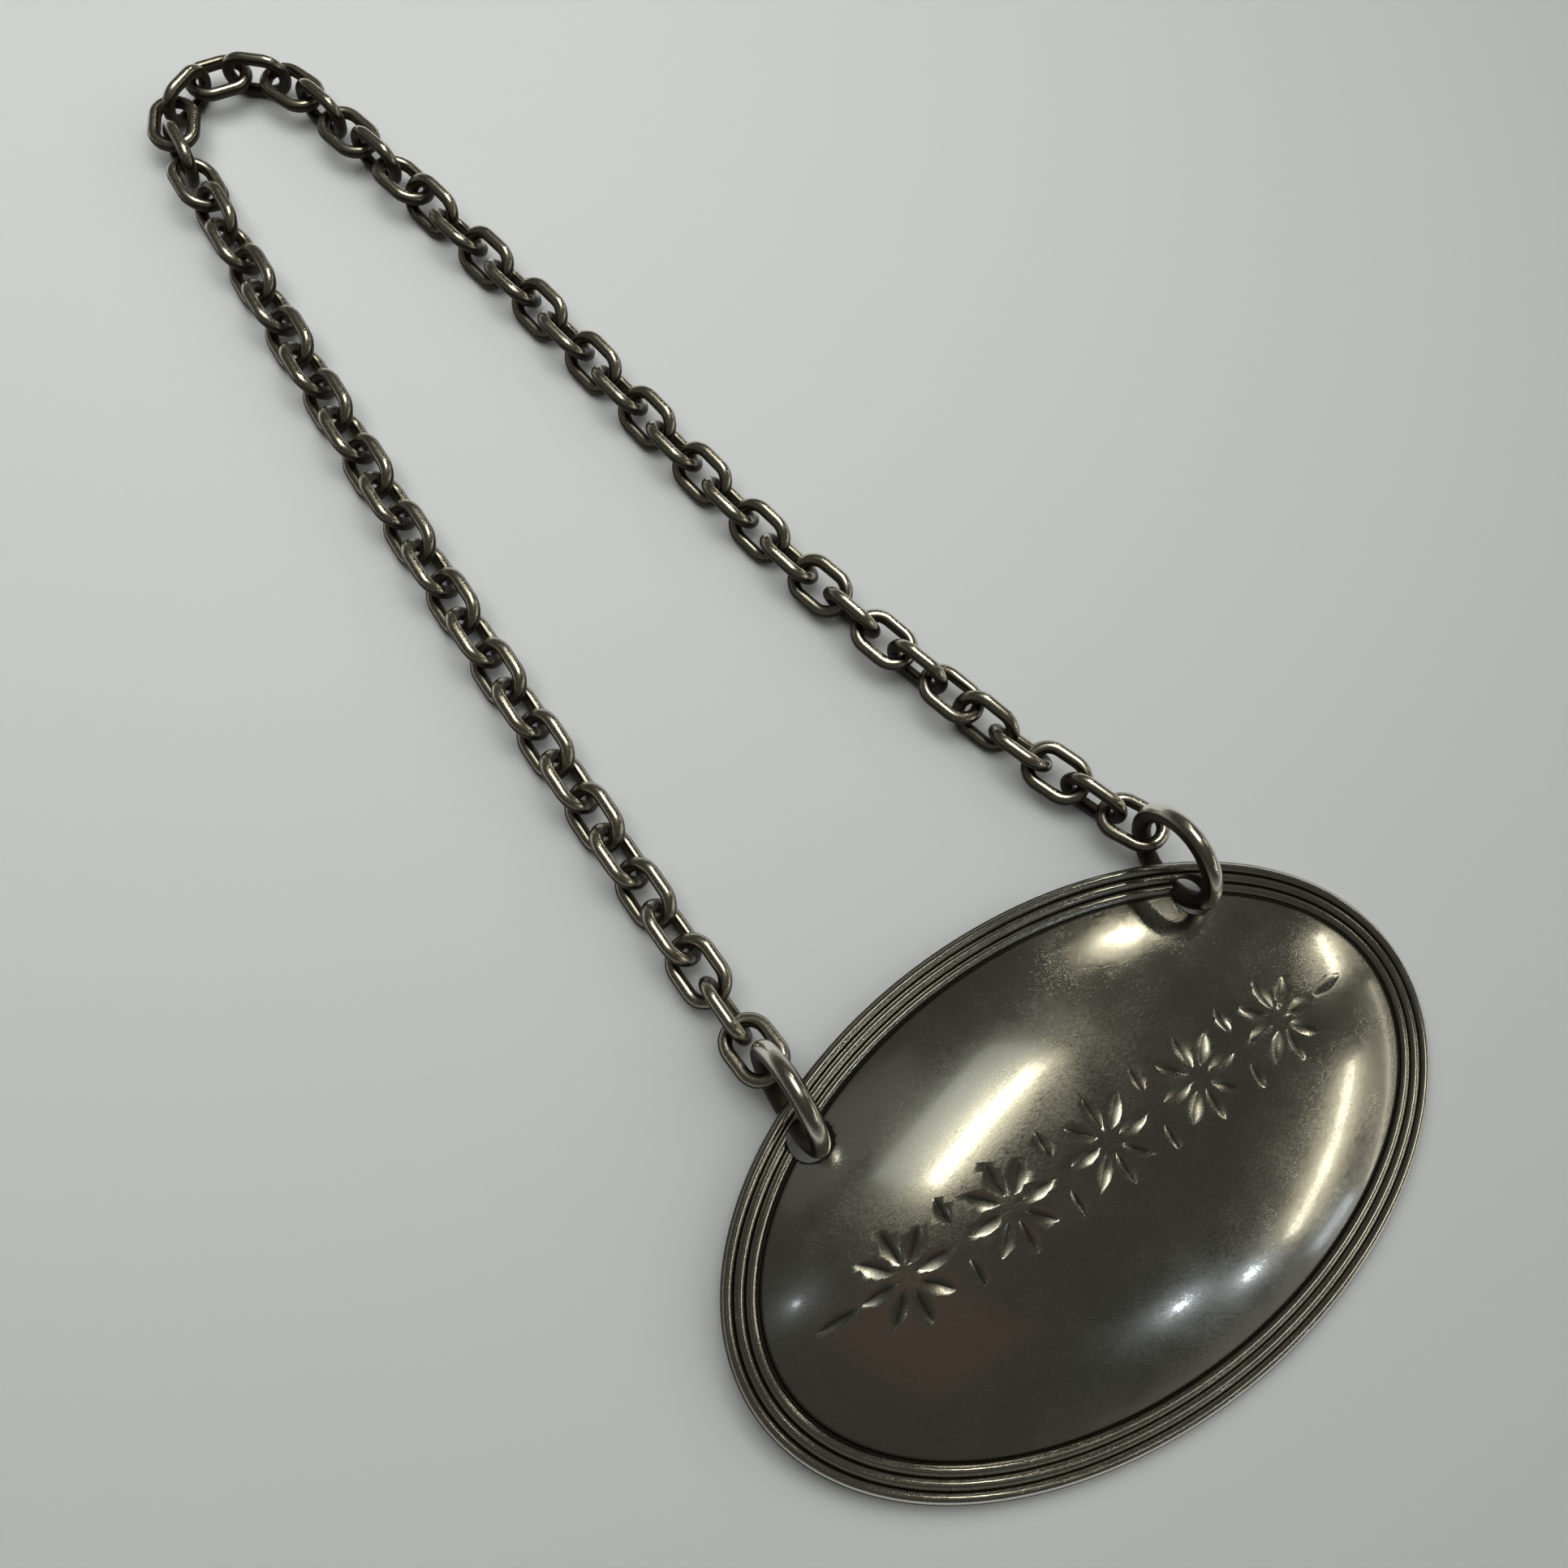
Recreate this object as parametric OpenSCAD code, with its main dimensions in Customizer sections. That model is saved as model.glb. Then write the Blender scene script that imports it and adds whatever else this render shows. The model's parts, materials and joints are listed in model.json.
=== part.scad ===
// Silver wine label: a domed oval plate with a reeded border, hung from a chain of oval links.
// A jump ring through a hole at each shoulder of the plate carries one end of the chain.
// Lengths are in millimetres and angles in degrees.
// The label lies on a surface at z = 0. X runs along the plate and Y from the plate to the chain.
// The origin is the middle of the plate's lower edge, where its back rests on that surface.

/* [Plate] */
// Length of the oval plate
label_w = 46; // [40:0.5:56]
// Height of the oval plate
label_h = 28.4; // [24:0.2:36]
// Thickness of the domed sheet
sheet = 0.8; // [0.5:0.05:1.2]
// Rise of the dome above the groove inside the border
dome_rise = 2.6; // [1:0.1:4]
// How full the dome is: higher values keep the middle flatter and turn down closer to the border
dome_fullness = 2.5; // [2:0.1:4]

/* [Border] */
// Width of the reeded border
border_w = 1.9; // [1.2:0.1:2.4]
// Height of the reeds above the plate's back
border_t = 1; // [0.8:0.05:1.4]
// Number of reeds across the border
reeds = 3; // [2:1:4]
// Depth of the grooves between the reeds
reed_depth = 0.24; // [0.1:0.02:0.4]
// Width of the flat on the back that the plate rests on
back_land = 1.5; // [0.8:0.1:1.8]

/* [Holes and rings] */
// Diameter of the hole that each jump ring passes through
hole_d = 2.4; // [2.2:0.1:3]
// Distance of each hole's middle from the plate's middle, along the plate
hole_x = 13.5; // [11:0.1:15]
// Metal left between a hole and the plate's edge, across the ring
hole_land = 1.1; // [0.9:0.05:1.3]
// Outer diameter of a jump ring
ring_d = 7; // [6.8:0.1:8]
// Wire of a jump ring
ring_wire = 1.15; // [0.8:0.05:1.2]
// Gap between a jump ring and the plate
ring_gap = 0.12; // [0.08:0.01:0.2]
// Where the chain hangs on a ring, as an angle below level
hang_angle = 28; // [20:1:45]
// Gap between a jump ring and the joint where the chain hangs on it
hang_gap = 0.2; // [0.15:0.01:0.3]
// How far outward of its ring the chain's slanting right end hangs
hang_side = 0.25; // [0:0.01:0.3]

/* [Chain] */
// Number of links in the chain
link_count = 60; // [40:2:80]
// Links in the tight bend at the far end of the loop
bend_count = 4; // [4:2:8]
// Wire of a link
link_wire = 0.82; // [0.6:0.02:0.86]
// Outer length of a link
link_l = 4.56; // [4.1:0.02:4.9]
// Outer width of a link
link_w = 3.3; // [3.1:0.05:3.6]
// Gap between the wires of two linked links
link_gap = 0.24; // [0.18:0.01:0.3]
// Gap between the chain and the surface that it lies on
lie_gap = 0.09; // [0.06:0.01:0.14]

/* [Lay of the chain] */
// Radius of the bend at the far end of the loop
bend_r = 4.7; // [4.4:0.1:6]
// How far the bend lies to the left of the plate's middle
bend_left = 11.2; // [0:0.1:13]
// Outward bow of the left run
left_bow = 0.7; // [0:0.1:2]
// Inward bow of the right run
right_bow = 1.3; // [0:0.1:2]
// Sideways wave of the right run
right_wave = 0.9; // [0:0.1:2]

/* [Hidden] */
$fn = 48;

// Steps of the plate's faceted surface: round the oval, along each reed and over the dome
oval_steps = 72;
reed_steps = 4;
dome_rings = [0.985, 0.95, 0.88, 0.78, 0.65, 0.5, 0.3];
hollow_rings = [0.25, 0.5, 0.7, 0.86, 0.95];
edge_break = 0.12;
silver = [0.77, 0.75, 0.69];
dull_silver = [0.56, 0.53, 0.47];

// How far the chain has twisted at each share of its length: its links lie flat and upright, or lean
roll_stops = [
    [0, 0], [0.06, -45], [0.395, -45], [0.45, -90], [0.575, -90], [0.62, -135], [0.83, -135],
    [0.875, -180], [0.9, -180], [0.975, -270], [1, -270]
];

// The plate, seen with its back on z = 0 and its middle at the origin
semi_x = label_w / 2;
semi_y = label_h / 2;
groove_z = border_t - reed_depth;
edge_y = semi_y * sqrt(1 - pow(hole_x / semi_x, 2));
hole_y = edge_y - hole_land - hole_d / 2;

// A ring stands across the plate's edge: its outside clears the far wall of the hole and its inside clears the land
ring_r = (ring_d - ring_wire) / 2;
ring_inner = ring_r - ring_wire / 2;
ring_y = hole_y - hole_d / 2 + ring_gap + ring_d / 2;
ring_z = sqrt(pow(ring_inner - ring_gap, 2) - pow(ring_y - hole_y - hole_d / 2, 2));

// The plate tilts up on its rings, about its lower edge, until the rings meet the surface
ring_reach = [semi_y + ring_y, ring_z];
tilt = asin(ring_d / 2 / norm(ring_reach)) - atan2(ring_reach.y, ring_reach.x);
ring_at_y = norm(ring_reach) * cos(tilt + atan2(ring_reach.y, ring_reach.x));
ring_at_z = ring_d / 2;

// The chain's pitch is the length inside a link, less the gap
link_pitch = link_l - 2 * link_wire - link_gap;
link_half = (link_w - link_wire) / 2;
rows = (link_count - bend_count) / 2;
hang_r = ring_inner - hang_gap;
hang_y = ring_at_y + hang_r * cos(hang_angle);
hang_z = ring_at_z - hang_r * sin(hang_angle);

// The chain's route, seen from above: up the left run, round the bend and down the right run
run_steps = 60;
bend_steps = 24;
left_start = [-hole_x, hang_y];
right_end = [hole_x + hang_side, hang_y];
function unit(v) = v / norm(v);
function heading(a, b) = atan2(b.y - a.y, b.x - a.x);
function facing(a) = [cos(a), sin(a)];
function swing(a, b) = asin(bend_r / norm(b - a));
function left_heading(c) = heading(left_start, c) + swing(left_start, c);
function right_heading(c) = heading(right_end, c) - swing(right_end, c);
function run(a, b, bow, wave) = [
    for (i = [0:run_steps])
        let (s = i / run_steps)
        a + s * (b - a) + (bow * sin(180 * s) + wave * sin(360 * s)) * facing(heading(a, b) + 90)
];
function route(y) =
    let (
        c = [-bend_left, y],
        from = left_heading(c) + 90,
        to = right_heading(c) - 90
    )
    concat(
        run(left_start, c + bend_r * facing(from), left_bow, 0),
        [for (i = [1:bend_steps - 1]) c + bend_r * facing(from + (to - from) * i / bend_steps)],
        run(c + bend_r * facing(to), right_end, -right_bow, right_wave)
    );
function travel(points) = [
    for (i = 0, s = 0; i < len(points); i = i + 1, s = s + (i < len(points) ? norm(points[i] - points[i - 1]) : 0)) s
];
function route_length(y) = let (t = travel(route(y))) t[len(t) - 1];

// The bend lies as far out as the chain's length lets it
function reach(low, high, turns) =
    let (mid = (low + high) / 2)
    turns == 0 ? mid
    : route_length(mid) < link_count * link_pitch ? reach(mid, high, turns - 1)
    : reach(low, mid, turns - 1);
bend_y = reach(hang_y + bend_r, hang_y + link_count * link_pitch / 2, 30);
path = route(bend_y);
path_s = travel(path);
path_x = [for (i = [0:len(path) - 1]) [path_s[i], path[i].x]];
path_y = [for (i = [0:len(path) - 1]) [path_s[i], path[i].y]];

// The points where each link meets the next, from the left ring to the right ring
function roll(share) = lookup(share, roll_stops);
function lie_height(share) =
    link_half * max(abs(sin(roll(share))), abs(cos(roll(share)))) + link_wire / 2 + lie_gap;
function joint_height(k) = k == 0 || k == link_count ? hang_z : lie_height(k / link_count);
joints = [
    for (k = [0:link_count])
        let (s = path_s[len(path_s) - 1] * k / link_count)
        [lookup(s, path_x), lookup(s, path_y), joint_height(k)]
];

function two_digits(i) = str(i < 10 ? "0" : "", i);
function left_name(i) = str("left_link_", two_digits(i));
function right_name(i) = str("right_link_", two_digits(i));

// A point of the oval, moved in from its edge
function oval(a, inset) =
    [semi_x * cos(a), semi_y * sin(a)] - inset * unit([semi_y * cos(a), semi_x * sin(a)]);
function ring_of(inset, z) = [for (i = [0:oval_steps - 1]) concat(oval(360 * i / oval_steps, inset), z)];
function shrunk(q, z) = [for (i = [0:oval_steps - 1]) concat(q * oval(360 * i / oval_steps, border_w), z)];
function dome(q) = groove_z + dome_rise * (1 - pow(q, dome_fullness));
function reed(t) = groove_z + reed_depth * abs(sin(180 * reeds * t));

plate_rings = concat(
    [for (q = hollow_rings) shrunk(q, dome(q) - sheet)],
    [ring_of(back_land, 0), ring_of(edge_break, 0), ring_of(0, edge_break)],
    [for (i = [0:reeds * reed_steps]) ring_of(border_w * i / reeds / reed_steps, reed(i / reeds / reed_steps))],
    [for (q = dome_rings) shrunk(q, dome(q))]
);

// A closed skin over rings of points, with a point at each end
module skin(first, rings, last) {
    n = oval_steps;
    points = concat([first], [for (r = rings) each r], [last]);
    end = len(points) - 1;
    top = end - n;
    sides = [
        for (j = [0:len(rings) - 2], i = [0:n - 1])
            let (a = 1 + j * n + i, b = 1 + j * n + (i + 1) % n)
            each [[a, a + n, b], [b, a + n, b + n]]
    ];
    bottom_fan = [for (i = [0:n - 1]) [0, 1 + i, 1 + (i + 1) % n]];
    top_fan = [for (i = [0:n - 1]) [end, top + (i + 1) % n, top + i]];
    polyhedron(points, concat(bottom_fan, sides, top_fan));
}

// The domed plate, hollow behind, drilled for its two rings
module label_plate() {
    color(silver)
        rotate([tilt, 0, 0])
            translate([0, semi_y, 0])
                difference() {
                    skin([0, 0, dome(0) - sheet], plate_rings, [0, 0, dome(0)]);
                    for (side = [-1, 1])
                        translate([side * hole_x, hole_y, 0])
                            cylinder(d = hole_d, h = 4 * (border_t + dome_rise), center = true);
                }
}

// A jump ring, standing across the plate's edge
module jump_ring(side) {
    color(dull_silver)
        translate([side * hole_x, ring_at_y, ring_at_z])
            rotate([0, 90, 0])
                rotate_extrude()
                    translate([ring_r, 0])
                        circle(d = ring_wire);
}

// One oval link along X, flat on the XY plane
module oval_link() {
    straight = link_l - link_w;
    for (end = [-1, 1]) {
        translate([end * straight / 2, 0, 0])
            rotate(-90 * end)
                rotate_extrude(angle = 180)
                    translate([link_half, 0])
                        circle(d = link_wire);
        translate([-straight / 2, end * link_half, 0])
            rotate([0, 90, 0])
                cylinder(d = link_wire, h = straight);
    }
}

// Link k of the chain, counted from the left ring, between its two joints
module chain_link(k) {
    a = joints[k - 1];
    b = joints[k];
    along = unit(b - a);
    side = unit(cross([0, 0, 1], along));
    up = cross(along, side);
    turn = roll((k - 0.5) / link_count) + (k % 2 == 0 ? 90 : 0);
    across = cos(turn) * side + sin(turn) * up;
    face = cross(along, across);
    mid = (a + b) / 2;
    color(dull_silver)
        multmatrix([for (i = [0:2]) [along[i], across[i], face[i], mid[i]]])
            oval_link();
}

// The links round the bend, which turn together
module bend_links() {
    for (k = [rows + 1:rows + bend_count])
        chain_link(k);
}

label_plate();
jump_ring(-1);  // left_ring
jump_ring(1);  // right_ring
for (i = [1:rows]) {
    chain_link(i);
    chain_link(link_count + 1 - i);
}
bend_links();
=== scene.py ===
"""Looks of a silver wine label on its chain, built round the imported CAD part.

The plate, the jump rings and the chain's links are redrawn finer over their CAD nodes, and keep those nodes'
places. Lengths are in metres, unless a class says that its own are in millimetres. The row frame is the CAD
part's: X along the plate, Y from the plate to the far end of the chain, Z up.
"""

from __future__ import annotations

import json
import logging
import math
from dataclasses import dataclass
from enum import Enum

import bmesh
import bpy
import numpy as np
from mathutils import Matrix, Vector

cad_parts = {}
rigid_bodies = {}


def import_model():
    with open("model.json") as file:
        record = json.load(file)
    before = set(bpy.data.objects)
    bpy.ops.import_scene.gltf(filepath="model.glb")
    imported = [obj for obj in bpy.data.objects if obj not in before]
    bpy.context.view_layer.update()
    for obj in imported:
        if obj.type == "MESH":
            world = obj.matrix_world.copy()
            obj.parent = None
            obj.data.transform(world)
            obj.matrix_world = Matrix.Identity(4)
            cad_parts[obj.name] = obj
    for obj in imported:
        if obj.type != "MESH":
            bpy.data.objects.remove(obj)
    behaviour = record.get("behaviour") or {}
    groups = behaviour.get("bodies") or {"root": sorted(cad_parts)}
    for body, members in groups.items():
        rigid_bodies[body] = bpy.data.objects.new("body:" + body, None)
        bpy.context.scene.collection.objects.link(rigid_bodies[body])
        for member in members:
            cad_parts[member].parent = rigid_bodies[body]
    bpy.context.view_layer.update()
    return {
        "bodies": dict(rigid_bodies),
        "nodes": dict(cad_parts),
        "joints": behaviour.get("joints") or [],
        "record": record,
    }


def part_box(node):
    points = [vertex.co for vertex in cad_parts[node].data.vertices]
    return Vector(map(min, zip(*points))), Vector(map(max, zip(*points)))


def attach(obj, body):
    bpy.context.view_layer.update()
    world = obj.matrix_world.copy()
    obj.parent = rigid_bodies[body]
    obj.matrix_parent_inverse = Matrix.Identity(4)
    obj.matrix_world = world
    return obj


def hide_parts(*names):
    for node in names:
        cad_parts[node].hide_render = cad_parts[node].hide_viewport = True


LOG = logging.getLogger("wine_label")
MM = 0.001
FULL_TURN = 2.0 * math.pi
BOTH_SIDES = (-1.0, 1.0)
# name of the mesh attribute for how dark a spot is: tarnish in hollows, and on the chain and rings also
# painted shade
SHADE_AND_TARNISH = "shade_and_tarnish"
Mesh = bpy.types.Mesh
Object = bpy.types.Object
Material = bpy.types.Material
Tree = bpy.types.NodeTree
Socket = bpy.types.NodeSocket
Pair = tuple[float, float]
Triple = tuple[float, float, float]


class Slot(Enum):
    """The record's material slots."""

    PLATE = "plate_silver"
    RING = "ring_silver"
    CHAIN = "chain_silver"


def arithmetic(tree: Tree, operation: str, *values: Socket | float) -> Socket:
    """Adds one sum to a node tree.

    Args:
        tree: tree that gets the sum
        operation: what is worked out, by the node's name for it
        values: sockets or fixed numbers that go in

    Returns:
        The sum's result.
    """
    node = tree.nodes.new("ShaderNodeMath")
    node.operation = operation
    for socket, value in zip(node.inputs, values):
        if isinstance(value, float):
            socket.default_value = value
        else:
            tree.links.new(value, socket)
    return node.outputs[0]


def ramp(tree: Tree, value: Socket, span: Pair, ends: Pair, eased: bool = True) -> Socket:
    """Adds a ramp to a node tree.

    Args:
        tree: tree that gets the ramp
        value: socket that drives it
        span: values at which it starts and stops
        ends: results at those two values
        eased: whether it starts and stops softly

    Returns:
        The ramp's result.
    """
    node = tree.nodes.new("ShaderNodeMapRange")
    if eased:
        node.interpolation_type = "SMOOTHSTEP"
    for name, number in zip(("From Min", "From Max", "To Min", "To Max"), (*span, *ends)):
        node.inputs[name].default_value = number
    tree.links.new(value, node.inputs["Value"])
    return node.outputs["Result"]


def noise(tree: Tree, spot: Socket, scale: float, detail: float, roughness: float) -> Socket:
    """Adds a noise pattern to a material.

    Args:
        tree: tree of the material
        spot: place on the piece
        scale: how many of the pattern's waves go to a metre
        detail: how many finer layers it has
        roughness: how strong the finer layers are

    Returns:
        The pattern's strength.
    """
    node = tree.nodes.new("ShaderNodeTexNoise")
    for name, number in (("Scale", scale), ("Detail", detail), ("Roughness", roughness)):
        node.inputs[name].default_value = number
    tree.links.new(spot, node.inputs["Vector"])
    return node.outputs["Fac"]


@dataclass(frozen=True)
class SilverFinish:
    """A silver surface that is bright where it is rubbed, and dark where it is sheltered: tarnished, and on
    the chain and rings also painted with shade.

    The mesh attribute shade_and_tarnish says how dark a spot is painted, from 0 to 1.
    """

    name: str
    bright: Triple  # colour of the rubbed metal
    tarnish_and_shade_colour: Triple  # colour of the tarnish, which on the chain and rings also paints shade
    roughness: float  # roughness of the rubbed metal
    haze: float  # how much the fine scratches add to the roughness
    grain: float  # size of the scratches' pattern
    relief: float  # depth of the scratches
    skin: float  # how far a burnished skin lies over the scratches, where the metal is rubbed
    skin_end: float = 0.4  # shade_and_tarnish value at which the burnished skin ends
    skin_ior: float = 2.2  # how strongly the burnished skin mirrors, as a refractive index
    skin_roughness: float = 0.08
    dark_start: float = 0.65  # value at which the tarnish and painted shade are fully dark and begin to hide the metal
    dark_gloss: float = 0.15  # gloss of the dark tarnish and painted shade where they hide the metal
    tarnish_roughness: float = 0.42  # roughness of the sheltered metal
    scratch_turn: float = 38.0  # way that the scratches run, in degrees
    scratch_narrow: float = 3.2  # how many times longer than wide they are
    scratch_share: float = 0.68  # how much of the haze follows the scratches, the rest being clouds
    cloud_scale: float = 0.09  # size of a scratch against a cloud's
    haze_span: Pair = (0.35, 0.75)  # strengths of the pattern at which the haze starts and is full
    relief_share: float = 0.5  # how much of the scratches' depth shows

    def build(self) -> Material:
        """Makes the finish.

        Returns:
            The finish as a material.
        """
        mat = bpy.data.materials.new(self.name)
        mat.use_nodes = True
        tree = mat.node_tree
        shader = tree.nodes["Principled BSDF"]
        mark = tree.nodes.new("ShaderNodeAttribute")
        mark.attribute_name = SHADE_AND_TARNISH
        shade_and_tarnish = mark.outputs["Fac"]
        self.colour(tree, shader, shade_and_tarnish)
        self.scratch(tree, shader, shade_and_tarnish)
        return mat

    def colour(self, tree: Tree, shader: bpy.types.Node, shade_and_tarnish: Socket) -> None:
        """Sets the metal's colour, its tarnish and painted shade, and its burnished skin.

        Args:
            tree: tree of the material
            shader: its shader
            shade_and_tarnish: how sheltered a spot is
        """
        links = tree.links
        links.new(ramp(tree, shade_and_tarnish, (self.dark_start, 1.0), (1.0, 0.0)), shader.inputs["Metallic"])
        links.new(ramp(tree, shade_and_tarnish, (0.0, self.skin_end), (self.skin, 0.0)), shader.inputs["Coat Weight"])
        shader.inputs["Coat IOR"].default_value = self.skin_ior
        shader.inputs["Coat Roughness"].default_value = self.skin_roughness
        shader.inputs["Specular IOR Level"].default_value = self.dark_gloss
        # blends to the tarnish colour, which on the chain and rings also paints shade
        mix = tree.nodes.new("ShaderNodeMix")
        mix.data_type = "RGBA"
        links.new(ramp(tree, shade_and_tarnish, (0.0, self.dark_start), (0.0, 1.0)), mix.inputs["Factor"])
        mix.inputs["A"].default_value = (*self.bright, 1.0)
        mix.inputs["B"].default_value = (*self.tarnish_and_shade_colour, 1.0)
        links.new(mix.outputs["Result"], shader.inputs["Base Color"])

    def scratch(self, tree: Tree, shader: bpy.types.Node, shade_and_tarnish: Socket) -> None:
        """Sets the fine scratches, their haze and their relief.

        Args:
            tree: tree of the material
            shader: its shader
            shade_and_tarnish: how sheltered a spot is
        """
        nodes, links = tree.nodes, tree.links
        spot = nodes.new("ShaderNodeTexCoord").outputs["Object"]
        stretch = nodes.new("ShaderNodeMapping")
        stretch.inputs["Rotation"].default_value = (0.0, 0.0, math.radians(self.scratch_turn))
        stretch.inputs["Scale"].default_value = (1.0, self.scratch_narrow, 1.0)
        links.new(spot, stretch.inputs["Vector"])
        scratches = noise(tree, stretch.outputs["Vector"], 1.0 / self.grain, detail=5.0, roughness=0.65)
        clouds = noise(tree, spot, self.cloud_scale / self.grain, detail=3.0, roughness=0.5)
        cloudy = arithmetic(tree, "MULTIPLY", clouds, 1.0 - self.scratch_share)
        pattern = arithmetic(tree, "MULTIPLY_ADD", scratches, self.scratch_share, cloudy)
        hazy = self.roughness + self.haze
        mix = nodes.new("ShaderNodeMix")
        links.new(shade_and_tarnish, mix.inputs["Factor"])
        links.new(ramp(tree, pattern, self.haze_span, (self.roughness, hazy), eased=False), mix.inputs["A"])
        mix.inputs["B"].default_value = self.tarnish_roughness
        links.new(mix.outputs["Result"], shader.inputs["Roughness"])
        bump = nodes.new("ShaderNodeBump")
        bump.inputs["Strength"].default_value = self.relief_share
        bump.inputs["Distance"].default_value = self.relief
        links.new(scratches, bump.inputs["Height"])
        links.new(bump.outputs["Normal"], shader.inputs["Normal"])


POLISHED = SilverFinish(
    "polished_silver", bright=(0.90, 0.88, 0.80), tarnish_and_shade_colour=(0.045, 0.04, 0.03), roughness=0.12, haze=0.24,
    grain=0.22 * MM, relief=0.0022 * MM, skin=1.0)
RING_WIRE = SilverFinish(
    "ring_silver", bright=(0.88, 0.83, 0.72), tarnish_and_shade_colour=(0.034, 0.028, 0.020), roughness=0.17, haze=0.14,
    grain=0.4 * MM, relief=0.0026 * MM, skin=1.0)
CHAIN_WIRE = SilverFinish(
    "chain_silver", bright=(0.90, 0.84, 0.70), tarnish_and_shade_colour=(0.030, 0.024, 0.016), roughness=0.20, haze=0.14,
    grain=0.4 * MM, relief=0.0020 * MM, skin=0.5)


@dataclass(frozen=True)
class Shelter:
    """How the dark of tarnish, and on the chain and rings of painted shade, fades in at one kind of sheltered
    spot.
    """

    most: float  # darkness of tarnish and painted shade where the spot is fully sheltered
    start: float  # measure at which the shelter starts
    full: float  # measure at which it is full, above or below the start

    def shade_and_tarnish(self, measure: np.ndarray) -> np.ndarray:
        """Returns how sheltered each spot is, from what is measured there."""
        share = np.clip((measure - self.start) / (self.full - self.start), 0.0, 1.0)
        return self.most * share * share * (3.0 - 2.0 * share)


def set_shade_and_tarnish(mesh: Mesh, values: np.ndarray) -> None:
    """Stores how dark each vertex is painted with tarnish and shade, from 0 to 1, for its finish."""
    attribute = mesh.attributes.new(SHADE_AND_TARNISH, "FLOAT", "POINT")
    attribute.data.foreach_set("value", np.clip(values, 0.0, 1.0).astype(np.float32))


def per_vertex(mesh: Mesh, what: str) -> np.ndarray:
    """Reads a vector from every vertex.

    Args:
        mesh: mesh to read
        what: "co" for the places, "normal" for the normals

    Returns:
        The vectors as an n by 3 array.
    """
    flat = np.empty(len(mesh.vertices) * 3, dtype=np.float32)
    mesh.vertices.foreach_get(what, flat)
    return flat.reshape(-1, 3).astype(float)


def smooth_faces(mesh: Mesh) -> None:
    """Shades all of the mesh's faces smooth."""
    mesh.polygons.foreach_set("use_smooth", np.ones(len(mesh.polygons), dtype=bool))


def new_object(name: str, data: bpy.types.ID) -> Object:
    """Makes an object at the origin and puts it into the scene.

    Args:
        name: object name
        data: mesh, light or camera that it shows

    Returns:
        The object.
    """
    obj = bpy.data.objects.new(name, data)
    bpy.context.scene.collection.objects.link(obj)
    return obj


def mesh_from(name: str, points: np.ndarray, faces: list[tuple[int, ...]]) -> Mesh:
    """Makes a mesh with its normals facing out.

    Args:
        name: mesh name
        points: its vertices
        faces: its faces, as numbers of vertices

    Returns:
        The mesh.
    """
    mesh = bpy.data.meshes.new(name)
    mesh.from_pydata([tuple(p) for p in points], [], faces)
    work = bmesh.new()
    work.from_mesh(mesh)
    bmesh.ops.recalc_face_normals(work, faces=work.faces)
    work.to_mesh(mesh)
    work.free()
    return mesh


def evaluated_mesh(obj: Object) -> Mesh:
    """Applies an object's modifiers.

    Args:
        obj: object with modifiers

    Returns:
        A plain mesh of what it shows.
    """
    graph = bpy.context.evaluated_depsgraph_get()
    shown = obj.evaluated_get(graph)
    return bpy.data.meshes.new_from_object(shown, preserve_all_data_layers=True, depsgraph=graph)


def cut_away(obj: Object, cutters: list[Mesh]) -> None:
    """Takes the cutters' solids away from an object.

    Args:
        obj: object that is cut
        cutters: solids to take away
    """
    work = bmesh.new()
    for cutter in cutters:
        work.from_mesh(cutter)
    tool = new_object("cutter", bpy.data.meshes.new("cutters"))
    work.to_mesh(tool.data)
    work.free()
    modifier = obj.modifiers.new("cut", "BOOLEAN")
    modifier.operation = "DIFFERENCE"
    modifier.solver = "MANIFOLD"
    modifier.object = tool
    result = evaluated_mesh(obj)
    obj.modifiers.remove(modifier)
    bpy.data.objects.remove(tool)
    obj.data = result


def hand_over(piece: Object, body: str, nodes: list[str]) -> None:
    """Hands a finished piece to its body and reports it.

    Args:
        piece: the finished piece
        body: body that it rides on
        nodes: CAD nodes that it is shown in place of
    """
    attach(piece, body)
    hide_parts(*nodes)
    LOG.info("%s: %d faces, on %s, for %s", piece.name, len(piece.data.polygons), body, ", ".join(nodes))


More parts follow.
